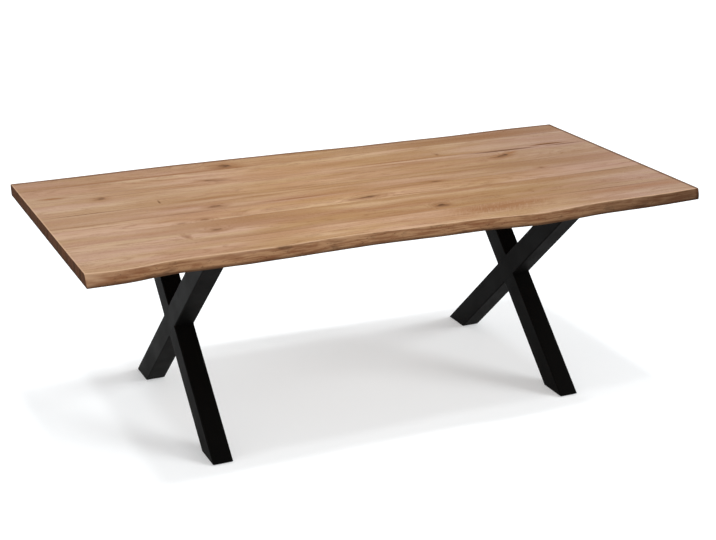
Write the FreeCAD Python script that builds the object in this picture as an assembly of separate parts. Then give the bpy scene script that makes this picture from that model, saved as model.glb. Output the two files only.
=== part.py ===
import FreeCAD, Part
import math
import os

from FreeCAD import Placement, Rotation, Vector

# A live edge dining table: a glued oak top on two welded steel X frames.
# X runs along the table, -Y is the front, and the floor is Z = 0.
# The origin is on the floor, under the middle of the top.

# Oak top: boards glued edge to edge, with saw-cut ends.
table_height = 750.0
top_length = 2200.0
top_thickness = 40.0
back_plank_width = 119.0
second_plank_width = 160.0
third_plank_width = 171.0
middle_plank_width = 121.0
fifth_plank_width = 100.0
sixth_plank_width = 196.0
front_plank_width = 133.0

# Natural long edges. Each point is a share of the length from the middle of
# the table, then how far the upper and the lower arris stand outside the
# straight edge line, in millimetres.
edge_belly = 2.0
front_edge = [
    (-0.500, 4.0, 30.0),
    (-0.473, 14.0, 31.0),
    (-0.427, 14.0, 27.0),
    (-0.386, 0.0, 10.0),
    (-0.350, -4.0, 10.0),
    (-0.273, 0.0, 16.0),
    (-0.200, 2.0, 13.0),
    (-0.114, -8.0, 6.0),
    (-0.036, -1.0, 6.0),
    (0.045, 5.0, 15.0),
    (0.127, 13.0, 20.0),
    (0.182, 30.0, 36.0),
    (0.250, 22.0, 32.0),
    (0.300, 9.0, 20.0),
    (0.364, 7.0, 18.0),
    (0.432, 8.0, 16.0),
    (0.500, 0.0, 7.0),
]
back_edge = [
    (-0.500, 2.0, -6.0),
    (-0.377, 4.0, 8.0),
    (-0.295, 10.0, 24.0),
    (-0.218, 11.0, 33.0),
    (-0.150, 9.0, 32.0),
    (-0.080, 6.0, 24.0),
    (0.009, 0.0, 18.0),
    (0.100, -10.0, 8.0),
    (0.195, -10.0, 12.0),
    (0.280, -13.0, 6.0),
    (0.395, -3.0, 18.0),
    (0.500, -6.0, 10.0),
]

# X frames of rectangular tube.
frame_spacing = 1320.0
foot_spread = 740.0
tube_width = 70.0
tube_depth = 80.0
tube_wall = 3.0
tube_corner_radius = 4.0

# Mounting plate on each frame, bolted to the oak through slots.
plate_thickness = 8.0
plate_end_margin = 45.0
plate_edge_margin = 4.0
plate_corner_radius = 10.0
plate_slot_length = 20.0
plate_slot_inset = 35.0
plate_inner_bolt_y = 125.0
tool_clearance = 2.0

# Frame fasteners: hex bolts with wide washers in threaded inserts.
bolt_diameter = 8.0
bolt_length = 30.0
bolt_head_across_flats = 13.0
bolt_head_height = 5.3
washer_diameter = 24.0
washer_thickness = 2.0
insert_diameter = 12.0
insert_length = 18.0

# Steel channels let into the underside, web flush with the oak.
channel_width = 50.0
channel_height = 12.0
channel_wall = 4.0
channel_edge_distance = 100.0
channel_slot_length = 16.0
channel_bolt_inset = 60.0
channel_bolt_count = 4
groove_clearance = 0.3
groove_end_gap = 3.0

# Channel fasteners: button-head bolts in threaded inserts.
button_bolt_diameter = 6.0
button_bolt_length = 20.0
button_head_diameter = 10.5
button_head_height = 3.3
button_head_rim = 1.2
button_crown_diameter = 6.0
button_socket_across_flats = 4.0
button_socket_depth = 2.0
button_insert_diameter = 9.5
button_insert_length = 13.0

# Foot caps, weld nuts and levelling glides.
cap_thickness = 5.0
cap_clearance = 0.2
nut_across_flats = 17.0
nut_height = 8.0
stem_diameter = 10.0
stem_length = 30.0
stem_seat_depth = 2.5
glide_diameter = 42.0
glide_thickness = 4.0
glide_edge_chamfer = 1.0

# Shared clearances, each on the radius or on one side.
hole_clearance = 0.5
thread_clearance = 0.05
bolt_tip_room = 4.0

# Sizes that follow from the ones above.
plank_widths = [
    ("back_live_edge_plank", back_plank_width),
    ("second_plank", second_plank_width),
    ("third_plank", third_plank_width),
    ("middle_plank", middle_plank_width),
    ("fifth_plank", fifth_plank_width),
    ("sixth_plank", sixth_plank_width),
    ("front_live_edge_plank", front_plank_width),
]
top_width = sum(width for name, width in plank_widths)
underside = table_height - top_thickness
plate_bottom = underside - plate_thickness
frame_bottom = glide_thickness
frame_x = {"left": -frame_spacing / 2, "right": frame_spacing / 2}
foot_y = {"front": -foot_spread / 2, "back": foot_spread / 2}

leg_height = plate_bottom - frame_bottom
leg_length = math.hypot(leg_height, foot_spread)
leg_rise = leg_height / leg_length
leg_run = foot_spread / leg_length
leg_end_length = tube_depth / leg_rise
crossing = Vector(0, 0, frame_bottom + leg_height / 2)

bolt_row = tube_width / 2 + tool_clearance + washer_diameter / 2
plate_width = 2 * (bolt_row + washer_diameter / 2 + plate_edge_margin)
plate_length = foot_spread + leg_end_length + 2 * plate_end_margin
plate_outer_bolt_y = plate_length / 2 - plate_slot_inset
bolt_hole_depth = bolt_length - plate_thickness - washer_thickness + bolt_tip_room

channel_length = top_width - 2 * channel_edge_distance
overhang_middle = (frame_spacing / 2 + plate_width / 2 + top_length / 2) / 2
channel_x = {"left": -overhang_middle, "middle": 0.0, "right": overhang_middle}
button_hole_depth = button_bolt_length + bolt_tip_room

# Rough blanks run past their finished faces by this much.
spare = 2 * max(lower for share, upper, lower in front_edge + back_edge)


def centred_box(size, centre):
    corner = centre - size / 2
    return Part.makeBox(size.x, size.y, size.z, corner)


def round_upright_edges(box, radius):
    edges = [edge for edge in box.Edges if edge.BoundBox.ZLength > 2 * edge.BoundBox.XLength]
    upright = [edge for edge in edges if edge.BoundBox.ZLength > 2 * edge.BoundBox.YLength]
    return box.makeFillet(radius, upright)


def upright_cylinder(diameter, height, base):
    return Part.makeCylinder(diameter / 2, height, base)


def upright_hexagon(across_flats, height, base):
    radius = across_flats / math.sqrt(3)
    corners = []
    for step in range(7):
        angle = math.radians(60 * step)
        offset = Vector(radius * math.cos(angle), radius * math.sin(angle), 0)
        corners.append(base + offset)
    face = Part.Face(Part.makePolygon(corners))
    return face.extrude(Vector(0, 0, height))


def slot_across(width, length, height, base):
    # A slot that runs along Y, so that the oak can swell and shrink.
    reach = Vector(0, (length - width) / 2, 0)
    middle = Vector(width, length - width, height)
    slot = centred_box(middle, base + Vector(0, 0, height / 2))
    for end in (base + reach, base - reach):
        slot = slot.fuse(upright_cylinder(width, height, end))
    return slot.removeSplitter()


def threaded_sleeve(outer_diameter, bolt_size, height, base):
    bore = bolt_size + 2 * thread_clearance
    sleeve = upright_cylinder(outer_diameter, height, base)
    return sleeve.cut(upright_cylinder(bore, height, base))


# Places of the fasteners under the top.

def frame_bolt_places(side):
    rows = (frame_x[side] - bolt_row, frame_x[side] + bolt_row)
    stations = (plate_inner_bolt_y, plate_outer_bolt_y)
    return [
        Vector(x, sign * y, underside)
        for x in rows
        for y in stations
        for sign in (-1, 1)
    ]


def channel_bolt_places(place):
    first = -channel_length / 2 + channel_bolt_inset
    pitch = -2 * first / (channel_bolt_count - 1)
    return [
        Vector(channel_x[place], first + pitch * index, underside)
        for index in range(channel_bolt_count)
    ]


# The top.

def live_edge_wire(points, column, height, outward, edge_line, far_side):
    # One level of a board with a natural edge: a wavy long side, two ends
    # past the saw cuts and a straight side past the glue line.
    line = []
    for share, upper, lower in points:
        belly = (upper + lower) / 2 + edge_belly
        reach = {"upper": upper, "belly": belly, "lower": lower}[column]
        line.append(Vector(share * top_length, edge_line + outward * reach, height))
    line.insert(0, line[0] - Vector(spare, 0, 0))
    line.append(line[-1] + Vector(spare, 0, 0))
    wave = Part.BSplineCurve()
    wave.interpolate(Points=line, Parameters=[point.x / top_length for point in line])
    far_left = Vector(line[0].x, far_side, height)
    far_right = Vector(line[-1].x, far_side, height)
    edges = [
        wave.toShape(),
        Part.makeLine(line[-1], far_right),
        Part.makeLine(far_right, far_left),
        Part.makeLine(far_left, line[0]),
    ]
    return Part.Wire(edges)


def live_edge_board(points, outward, edge_line, glue_line):
    far_side = glue_line - outward * spare
    levels = [
        ("lower", underside),
        ("belly", underside + top_thickness / 2),
        ("upper", table_height),
    ]
    wires = [
        live_edge_wire(points, column, height, outward, edge_line, far_side)
        for column, height in levels
    ]
    slab = Part.makeLoft(wires, True, False)
    widest = abs(edge_line - glue_line) + spare
    middle_y = glue_line + outward * widest / 2
    size = Vector(top_length, widest, top_thickness)
    saw_cuts = centred_box(size, Vector(0, middle_y, underside + top_thickness / 2))
    return slab.common(saw_cuts)


def channel_grooves():
    # A shallow recess for the web and a kerf for each flange.
    length = channel_length + 2 * groove_end_gap
    kerf = channel_wall + 2 * groove_clearance
    cuts = []
    for x in channel_x.values():
        web_size = Vector(channel_width + 2 * groove_clearance, length, 2 * channel_wall)
        cuts.append(centred_box(web_size, Vector(x, 0, underside)))
        for side in (-1, 1):
            flange_x = x + side * (channel_width - channel_wall) / 2
            kerf_size = Vector(kerf, length, 2 * (channel_height + groove_clearance))
            cuts.append(centred_box(kerf_size, Vector(flange_x, 0, underside)))
    return cuts


def insert_holes():
    cuts = []
    for side in frame_x:
        for place in frame_bolt_places(side):
            width = insert_diameter + 2 * thread_clearance
            cuts.append(upright_cylinder(width, bolt_hole_depth, place))
    for channel in channel_x:
        for place in channel_bolt_places(channel):
            width = button_insert_diameter + 2 * thread_clearance
            cuts.append(upright_cylinder(width, button_hole_depth, place))
    return cuts


def make_planks():
    cuts = channel_grooves() + insert_holes()
    planks = {}
    back_side = top_width / 2
    for name, width in plank_widths:
        front_side = back_side - width
        middle_y = (back_side + front_side) / 2
        middle = Vector(0, middle_y, underside + top_thickness / 2)
        board = centred_box(Vector(top_length, width, top_thickness), middle)
        if name == "back_live_edge_plank":
            board = live_edge_board(back_edge, 1, back_side, front_side)
        if name == "front_live_edge_plank":
            board = live_edge_board(front_edge, -1, front_side, back_side)
        planks[name] = board.cut(cuts)
        back_side = front_side
    return planks


# Steel channels under the top.

def make_channel(place):
    x = channel_x[place]
    middle = Vector(x, 0, underside + channel_height / 2)
    outer = centred_box(Vector(channel_width, channel_length, channel_height), middle)
    hollow_width = channel_width - 2 * channel_wall
    hollow_base = underside + channel_wall
    hollow_middle = Vector(x, 0, hollow_base + channel_height / 2)
    hollow = centred_box(Vector(hollow_width, channel_length, channel_height), hollow_middle)
    channel = outer.cut(hollow)
    slot_width = button_bolt_diameter + 2 * hole_clearance
    for bolt_place in channel_bolt_places(place):
        channel = channel.cut(
            slot_across(slot_width, channel_slot_length, channel_wall, bolt_place)
        )
    return channel


def button_bolt(place):
    rise = button_head_height - button_head_rim
    rim_radius = button_head_diameter / 2
    head_base = place - Vector(0, 0, button_head_height)
    crown = Part.makeCone(button_crown_diameter / 2, rim_radius, rise, head_base)
    rim_base = place - Vector(0, 0, button_head_rim)
    rim = upright_cylinder(button_head_diameter, button_head_rim, rim_base)
    shank = upright_cylinder(button_bolt_diameter, button_bolt_length, place)
    socket = upright_hexagon(button_socket_across_flats, button_socket_depth, head_base)
    return crown.fuse([rim, shank]).cut(socket).removeSplitter()


def make_channel_fasteners():
    bolts = []
    inserts = []
    for channel in channel_x:
        for place in channel_bolt_places(channel):
            bolts.append(button_bolt(place))
            base = place + Vector(0, 0, channel_wall)
            inserts.append(
                threaded_sleeve(
                    button_insert_diameter, button_bolt_diameter, button_insert_length, base
                )
            )
    return {
        "stiffener_bolts": Part.makeCompound(bolts),
        "stiffener_inserts": Part.makeCompound(inserts),
    }


# X frames.

def leg_placement(run_sign, x):
    # Local Z runs up the leg, local X stays along the table.
    along = Vector(0, run_sign * leg_run, leg_rise)
    across = along.cross(Vector(1, 0, 0))
    turn = Rotation(Vector(1, 0, 0), across, along, "ZXY")
    return Placement(crossing + Vector(x, 0, 0), turn)


def leg_bar(width, depth, radius):
    length = leg_length + 2 * tube_depth
    bar = centred_box(Vector(width, depth, length), Vector(0, 0, 0))
    return round_upright_edges(bar, radius)


def level_slab(low, high, x):
    reach = foot_spread + 2 * (leg_end_length + spare)
    size = Vector(tube_width + spare, reach, high - low)
    return centred_box(size, Vector(x, 0, (low + high) / 2))


def leg_tube(run_sign, x):
    outer = leg_bar(tube_width, tube_depth, tube_corner_radius)
    hollow = leg_bar(tube_width - 2 * tube_wall, tube_depth - 2 * tube_wall, inner_radius())
    tube = outer.cut(hollow)
    tube.Placement = leg_placement(run_sign, x)
    return tube.common(level_slab(frame_bottom, plate_bottom, x))


def inner_radius():
    return max(tube_corner_radius - tube_wall, tube_corner_radius / 4)


def half_leg(tube, x, side):
    # Keeps what lies past one wide face of the long leg.
    size = Vector(tube_width + spare, leg_length, 2 * leg_length)
    keep = centred_box(size, Vector(0, side * (tube_depth + leg_length) / 2, 0))
    keep.Placement = leg_placement(-1, x)
    return tube.common(keep)


def make_mounting_plate(side):
    x = frame_x[side]
    size = Vector(plate_width, plate_length, plate_thickness)
    plate = centred_box(size, Vector(x, 0, plate_bottom + plate_thickness / 2))
    plate = round_upright_edges(plate, plate_corner_radius)
    slot_width = bolt_diameter + 2 * hole_clearance
    for place in frame_bolt_places(side):
        base = Vector(place.x, place.y, plate_bottom)
        slot = slot_across(slot_width, plate_slot_length, plate_thickness, base)
        plate = plate.cut(slot)
    return plate


def foot_cap(run_sign, x, y):
    # Fills the open end of the tube, flush with its saw cut.
    width = tube_width - 2 * (tube_wall + cap_clearance)
    depth = tube_depth - 2 * (tube_wall + cap_clearance)
    cap = leg_bar(width, depth, inner_radius())
    cap.Placement = leg_placement(run_sign, x)
    cap = cap.common(level_slab(frame_bottom, frame_bottom + cap_thickness, x))
    hole = stem_diameter + 2 * hole_clearance
    return cap.cut(upright_cylinder(hole, cap_thickness, Vector(x, y, frame_bottom)))


def weld_nut(x, y):
    base = Vector(x, y, frame_bottom + cap_thickness)
    bore = stem_diameter + 2 * thread_clearance
    nut = upright_hexagon(nut_across_flats, nut_height, base)
    return nut.cut(upright_cylinder(bore, nut_height, base))


def hex_bolt(place):
    seat = Vector(place.x, place.y, plate_bottom - washer_thickness)
    head_base = seat - Vector(0, 0, bolt_head_height)
    head = upright_hexagon(bolt_head_across_flats, bolt_head_height, head_base)
    return head.fuse(upright_cylinder(bolt_diameter, bolt_length, seat)).removeSplitter()


def washer(place):
    base = Vector(place.x, place.y, plate_bottom - washer_thickness)
    hole = bolt_diameter + 2 * hole_clearance
    ring = upright_cylinder(washer_diameter, washer_thickness, base)
    return ring.cut(upright_cylinder(hole, washer_thickness, base))


def make_frame(side):
    x = frame_x[side]
    places = frame_bolt_places(side)
    crossed_tube = leg_tube(1, x)
    frame = {
        "long_leg": leg_tube(-1, x),
        "upper_half_leg": half_leg(crossed_tube, x, 1),
        "lower_half_leg": half_leg(crossed_tube, x, -1),
        "mounting_plate": make_mounting_plate(side),
        "front_foot_cap": foot_cap(1, x, foot_y["front"]),
        "back_foot_cap": foot_cap(-1, x, foot_y["back"]),
        "weld_nuts": Part.makeCompound([weld_nut(x, y) for y in foot_y.values()]),
        "bolts": Part.makeCompound([hex_bolt(place) for place in places]),
        "washers": Part.makeCompound([washer(place) for place in places]),
        "inserts": Part.makeCompound([
            threaded_sleeve(insert_diameter, bolt_diameter, insert_length, place)
            for place in places
        ]),
    }
    return {f"{side}_frame_{piece}": shape for piece, shape in frame.items()}


# Levelling glides.

def make_glide(end, side):
    base = Vector(frame_x[side], foot_y[end], 0)
    seat = base + Vector(0, 0, glide_thickness - stem_seat_depth)
    pad = upright_cylinder(glide_diameter, glide_thickness, base)
    lower_rim = [edge for edge in pad.Edges if edge.BoundBox.ZMax < glide_thickness / 2]
    pad = pad.makeChamfer(glide_edge_chamfer, lower_rim)
    pocket = stem_diameter + 2 * thread_clearance
    pad = pad.cut(upright_cylinder(pocket, stem_seat_depth, seat))
    stem = upright_cylinder(stem_diameter, stem_length, seat)
    return {
        f"{end}_{side}_glide_pad": pad,
        f"{end}_{side}_glide_stem": stem,
    }


def build():
    nodes = make_planks()
    for place in channel_x:
        nodes[f"{place}_stiffener_channel"] = make_channel(place)
    nodes.update(make_channel_fasteners())
    for side in frame_x:
        nodes.update(make_frame(side))
    for side in frame_x:
        for end in foot_y:
            nodes.update(make_glide(end, side))
    return nodes


os.makedirs("parts", exist_ok=True)
for name, shape in build().items():
    shape.exportStep(f"parts/{name}.step")
    box = shape.optimalBoundingBox(True, False)
    print(
        name, len(shape.Solids), "solids", round(shape.Volume / 1000, 2), "cm3",
        "x", round(box.XMin, 2), round(box.XMax, 2),
        "y", round(box.YMin, 2), round(box.YMax, 2),
        "z", round(box.ZMin, 2), round(box.ZMax, 2),
        "valid" if shape.isValid() else "INVALID",
    )
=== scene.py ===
import math

import bmesh
import bpy
from mathutils import Matrix, Vector, noise


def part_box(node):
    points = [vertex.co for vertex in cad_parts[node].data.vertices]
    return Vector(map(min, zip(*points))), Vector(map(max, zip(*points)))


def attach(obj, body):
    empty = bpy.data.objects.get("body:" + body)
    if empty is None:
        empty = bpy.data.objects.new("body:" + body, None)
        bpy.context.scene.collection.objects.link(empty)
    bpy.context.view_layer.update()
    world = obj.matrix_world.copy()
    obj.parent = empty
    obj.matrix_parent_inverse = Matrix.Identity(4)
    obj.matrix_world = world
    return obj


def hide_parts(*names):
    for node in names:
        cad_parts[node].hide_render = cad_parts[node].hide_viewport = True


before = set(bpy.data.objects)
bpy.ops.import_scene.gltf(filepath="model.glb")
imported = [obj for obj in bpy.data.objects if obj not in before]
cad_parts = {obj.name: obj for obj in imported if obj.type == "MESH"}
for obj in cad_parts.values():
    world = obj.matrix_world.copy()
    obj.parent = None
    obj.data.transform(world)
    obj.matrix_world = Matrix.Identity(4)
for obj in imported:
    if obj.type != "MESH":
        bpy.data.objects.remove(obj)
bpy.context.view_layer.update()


# Grooves in the underside: a shallow recess for the web of each stiffening
# channel and a kerf for each of its flanges, routed across the glued top.
# The shapes of the cuts are made here and taken away from every board below.
channel_wall = 0.004
groove_room = 0.0003
groove_end_room = 0.003
router_overrun = 0.004
channel_sides = ("left", "middle", "right")
touching = 1e-6
squarely = 0.9
same_corner = 1e-5


def start_block(name, low, high):
    bpy.ops.object.select_all(action="DESELECT")
    bpy.ops.mesh.primitive_cube_add(size=1.0, location=(low + high) / 2, scale=high - low)
    bpy.ops.object.transform_apply(location=True, rotation=True, scale=True)
    block = bpy.context.object
    block.name = name
    block.data.name = name
    return block


def pick_edges(piece, wanted):
    bpy.context.view_layer.objects.active = piece
    bpy.ops.object.mode_set(mode="EDIT")
    bpy.ops.mesh.select_mode(type="EDGE")
    bpy.ops.mesh.select_all(action="DESELECT")
    shape = bmesh.from_edit_mesh(piece.data)
    for edge in shape.edges:
        if wanted(edge.verts[0].co, edge.verts[1].co):
            edge.select_set(True)
    bmesh.update_edit_mesh(piece.data)


def pick_faces(piece, wanted):
    bpy.context.view_layer.objects.active = piece
    bpy.ops.object.mode_set(mode="EDIT")
    bpy.ops.mesh.select_mode(type="FACE")
    bpy.ops.mesh.select_all(action="DESELECT")
    shape = bmesh.from_edit_mesh(piece.data)
    for face in shape.faces:
        if wanted(face.calc_center_median(), face.normal):
            face.select_set(True)
    bmesh.update_edit_mesh(piece.data)


def leave_edit():
    bpy.ops.object.mode_set(mode="OBJECT")


def channel_block(name, low, high, wall, web_top):
    block = start_block(name, low, Vector((high.x, high.y, web_top)))
    for side_x in (low.x + wall, high.x - wall):
        pick_faces(block, lambda middle, normal: True)
        bpy.ops.mesh.bisect(plane_co=(side_x, 0, 0), plane_no=(1, 0, 0))
    pick_faces(block, lambda middle, normal: normal.z > squarely and (
        middle.x < low.x + wall or middle.x > high.x - wall))
    rise = (0, 0, high.z - web_top)
    bpy.ops.mesh.extrude_region_move(TRANSFORM_OT_translate={"value": rise})
    leave_edit()
    return block


def combine(piece, tool, operation):
    joint = piece.modifiers.new("joint", "BOOLEAN")
    joint.operation = operation
    joint.solver = "EXACT"
    joint.object = tool
    bpy.context.view_layer.objects.active = piece
    bpy.ops.object.modifier_apply(modifier=joint.name)


groove_tools = []
for side in channel_sides:
    channel_low, channel_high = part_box(f"{side}_stiffener_channel")
    room = Vector((groove_room, groove_end_room, groove_room))
    below = Vector((0, 0, router_overrun))
    groove_tools.append(channel_block(
        f"{side}_groove_tool", channel_low - room - below, channel_high + room,
        channel_wall + 2 * groove_room, channel_low.z + channel_wall))


# The oak of the top: solid boards, planed, glued up and oiled, each with its
# own rings, knots and tone. The rings run through the wood, so that they also
# show on the saw-cut ends, and the grain bends round each knot.
oak_pale = (208, 175, 148)
oak_tan = (188, 150, 114)
oak_brown = (152, 106, 67)
oak_deep = (104, 66, 37)
oak_sheen_grey = (195, 168, 152)
oak_end = (106, 68, 50)
knot_brown = (102, 64, 33)
knot_dark = (58, 38, 24)
bark_pale = (184, 141, 104)
bark_brown = (147, 103, 72)
bark_red = (140, 90, 60)
bark_dark = (66, 44, 31)
worn_highlight_pale = (216, 181, 148)
warm_middle = (255, 254, 243)
rosy = (255, 250, 254)
golden = (254, 254, 246)
shaded_left = (248, 248, 246)
shaded_right = (234, 235, 240)
oak_roughness = 0.6
oak_gloss = 0.06
smooth_below = 35
foot_low = 0.711
bark_foot_high = 0.724
end_foot_high = 0.732


def paint(chart_colour):
    light = [((part / 255 + 0.055) / 1.055) ** 2.4 for part in chart_colour]
    return (*light, 1.0)


def add_node(tree, kind, inputs=None, **settings):
    made = tree.nodes.new(kind)
    for setting, value in settings.items():
        setattr(made, setting, value)
    for socket, value in (inputs or {}).items():
        if isinstance(value, bpy.types.NodeSocket):
            tree.links.new(value, made.inputs[socket])
        else:
            made.inputs[socket].default_value = value
    return made


def calculate(tree, operation, *values):
    node = add_node(tree, "ShaderNodeMath", dict(enumerate(values)), operation=operation)
    return node.outputs[0]


def ease(tree, value, start, end, low=0.0, high=1.0):
    inputs = {0: value, 1: start, 2: end, 3: low, 4: high}
    node = add_node(tree, "ShaderNodeMapRange", inputs, interpolation_type="SMOOTHSTEP")
    return node.outputs[0]


def lay_over(tree, share, under, over, way="MIX"):
    inputs = {0: share, 6: under, 7: over}
    node = add_node(tree, "ShaderNodeMix", inputs, data_type="RGBA", blend_type=way)
    return node.outputs[2]


def drawn_out_noise(tree, place, scale, detail, seed):
    stretch = add_node(tree, "ShaderNodeMapping", {
        "Vector": place, "Location": (seed, 0.7 * seed, 1.3 * seed), "Scale": scale})
    speckle = add_node(tree, "ShaderNodeTexNoise", {
        "Vector": stretch.outputs[0], "Scale": 1.0, "Detail": detail, "Roughness": 0.55})
    return speckle.outputs[0]


def new_finish(name):
    material = bpy.data.materials.new(name)
    material.use_nodes = True
    tree = material.node_tree
    spot = add_node(tree, "ShaderNodeTexCoord")
    return material, tree, tree.nodes["Principled BSDF"], spot


def wire_up(tree, surface, colour, roughness, height, bump, depth):
    relief = add_node(tree, "ShaderNodeBump", {"Strength": bump, "Distance": depth, "Height": height})
    tree.links.new(colour, surface.inputs["Base Color"])
    tree.links.new(roughness, surface.inputs["Roughness"])
    tree.links.new(relief.outputs[0], surface.inputs["Normal"])


def oak_finish(
        board, pith, ring_width, tone, seed, seams, half_length,
        knots=(), patches=(), lines=(), rays=(), outward=0):
    material, tree, surface, spot = new_finish(f"oiled_oak_{board}")
    place = spot.outputs["Object"]
    across = add_node(tree, "ShaderNodeSeparateXYZ", {0: place}).outputs
    facing = add_node(tree, "ShaderNodeSeparateXYZ", {0: spot.outputs["Normal"]}).outputs

    def work(operation, *values):
        return calculate(tree, operation, *values)

    def fade(value, start, end, low=0.0, high=1.0):
        return ease(tree, value, start, end, low, high)

    def wash(under, share, chart_colour, way="MIX"):
        return lay_over(tree, share, under, paint(chart_colour), way)

    def grain(along, over, detail, layer):
        return drawn_out_noise(tree, place, (along, over, over), detail, seed + layer)

    def distance_from(x, y, half_length, half_width, turn):
        # Measured in half sizes of the mark; the height hardly counts.
        spread = add_node(tree, "ShaderNodeMapping", {
            "Vector": place, "Location": (x, y, 0), "Rotation": (0, 0, math.radians(turn)),
            "Scale": (half_length, half_width, 1000)}, vector_type="TEXTURE")
        return add_node(
            tree, "ShaderNodeVectorMath", {0: spread.outputs[0]}, operation="LENGTH").outputs[1]

    def strongest(marks, roughened, start, end):
        mask = 0.0
        for x, y, half_length, half_width, turn, strength in marks:
            torn = work("ADD", distance_from(x, y, half_length, half_width, turn), roughened)
            mask = work("MAXIMUM", mask, fade(torn, start, end, 0.0, strength))
        return mask

    # Each knot is a stretched spot with a ragged edge; it lifts the rings.
    sway = work("SUBTRACT", grain(0.9, 5, 2, 0), 0.5)
    waver = work("SUBTRACT", grain(7, 34, 3, 1), 0.5)
    ragged = work("MULTIPLY", work("SUBTRACT", grain(34, 80, 3, 11), 0.5), 1.8)
    core = strongest(knots, ragged, 1.4, 0.3)
    halo = strongest(knots, ragged, 4.0, 0.8)
    lift = 0.0
    for x, y, knot_length, knot_width, turn, _ in knots:
        reach = distance_from(x, y, knot_length, knot_width, turn)
        lift = work("ADD", lift, fade(reach, 4.5, 0.0, 0.0, 1.8 * knot_width))

    # Rings round the pith, wavy along the board.
    off_y = work("SUBTRACT", across[1], pith[0])
    off_z = work("SUBTRACT", across[2], pith[1])
    radius = work("ADD", work("MULTIPLY", off_y, off_y), work("MULTIPLY", off_z, off_z))
    radius = work("MULTIPLY_ADD", sway, 0.06, work("SQRT", radius))
    radius = work("ADD", work("MULTIPLY_ADD", waver, 0.010, radius), lift)
    ring = work("FRACT", work("DIVIDE", radius, ring_width))
    early_wood = work("MULTIPLY", fade(ring, 0.0, 0.12), fade(ring, 0.55, 0.25))
    growth_line = add_node(tree, "ShaderNodeCombineXYZ", {0: across[0], 1: radius}).outputs[0]
    years = drawn_out_noise(tree, growth_line, (0.5, 60, 1), 2, seed + 2)

    # Colour: broad patches, groups of years, streaks, rings, fibres, pores.
    patch = grain(1.7, 11, 3, 3)
    streak = grain(3.4, 52, 5, 4)
    fibre = grain(16, 420, 2, 5)
    pores = work("MULTIPLY", fade(grain(85, 1500, 1, 6), 0.56, 0.66), early_wood)
    colour = lay_over(tree, fade(patch, 0.36, 0.62), paint(oak_pale), paint(oak_tan))
    colour = wash(colour, fade(years, 0.47, 0.72, 0.0, 0.4), oak_brown)
    colour = wash(colour, fade(streak, 0.48, 0.74, 0.0, 0.42), oak_brown)
    colour = wash(colour, fade(streak, 0.45, 0.25, 0.0, 0.4), oak_pale)
    # Painted sheen: the top turns pinkish grey towards both ends.
    ends_sheen = fade(work("ABSOLUTE", across[0]), 0.35, 1.1, 0.0, 0.3)
    colour = wash(colour, ends_sheen, oak_sheen_grey)
    middle = fade(work("ABSOLUTE", work("SUBTRACT", across[0], 0.2)), 0.8, 0.35)
    colour = wash(colour, middle, warm_middle, "MULTIPLY")
    left_end = fade(across[0], -0.1, -0.7)
    colour = wash(colour, left_end, shaded_left, "MULTIPLY")
    right_end = fade(across[0], -0.2, 0.9)
    colour = wash(colour, right_end, shaded_right, "MULTIPLY")
    tint = lay_over(tree, fade(grain(2.2, 17, 2, 12), 0.36, 0.64), paint(rosy), paint(golden))
    colour = lay_over(tree, 1.0, colour, tint, "MULTIPLY")
    soft = work("MULTIPLY", work("SUBTRACT", streak, 0.5), 1.7)
    brown = strongest(patches, soft, 1.15, 0.0)
    colour = wash(colour, brown, oak_brown)
    colour = wash(colour, work("MULTIPLY", early_wood, 0.2), oak_brown)
    colour = wash(colour, fade(fibre, 0.5, 0.72, 0.0, 0.25), oak_brown)
    colour = wash(colour, work("MULTIPLY", pores, 0.55), oak_deep)
    colour = wash(colour, 1.0, tone, "MULTIPLY")

    # Ray flecks: short pale and dark strokes across the grain.
    slant = add_node(tree, "ShaderNodeMapping", {
        "Vector": place, "Rotation": (0, 0, math.radians(60)), "Scale": (0.045, 0.0045, 0.045)},
        vector_type="TEXTURE")
    fleck = add_node(tree, "ShaderNodeTexNoise", {
        "Vector": slant.outputs[0], "Scale": 1.0, "Detail": 1.0}).outputs[0]
    rayed = work("MAXIMUM", strongest(rays, soft, 1.1, 0.3), 0.10)
    colour = wash(colour, work("MULTIPLY", rayed, fade(fleck, 0.50, 0.66, 0.0, 0.28)), oak_brown)
    colour = wash(colour, work("MULTIPLY", rayed, fade(fleck, 0.46, 0.32, 0.0, 0.18)), oak_pale)

    # Knots, and the dark lines of cracks and glue joints.
    colour = wash(colour, work("MULTIPLY", halo, 0.55), oak_brown)
    swirl = work("MULTIPLY", work("MULTIPLY", halo, halo), fade(waver, -0.02, 0.1))
    colour = wash(colour, work("MULTIPLY", swirl, 0.5), oak_deep)
    colour = wash(colour, work("MULTIPLY", core, 0.68), knot_brown)
    heart = work("MULTIPLY", work("MULTIPLY", core, core), fade(ragged, 0.05, -0.2))
    colour = wash(colour, work("MULTIPLY", heart, 0.5), knot_dark)
    split = strongest(lines, work("MULTIPLY", soft, 0.6), 1.1, 0.2)
    colour = wash(colour, split, oak_deep)
    for seam_y in seams:
        gap = work("ABSOLUTE", work("SUBTRACT", across[1], seam_y))
        hairline = work("MULTIPLY", fade(gap, 0.0028, 0.0004), fade(patch, 0.42, 0.6))
        colour = wash(colour, work("MULTIPLY", hairline, 0.45), oak_deep)

    roughness = work("MULTIPLY_ADD", pores, 0.2, oak_roughness)
    height = work("MULTIPLY_ADD", pores, -1.0, work("MULTIPLY", fibre, 0.5))
    height = work("MULTIPLY_ADD", split, -2.0, height)
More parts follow.
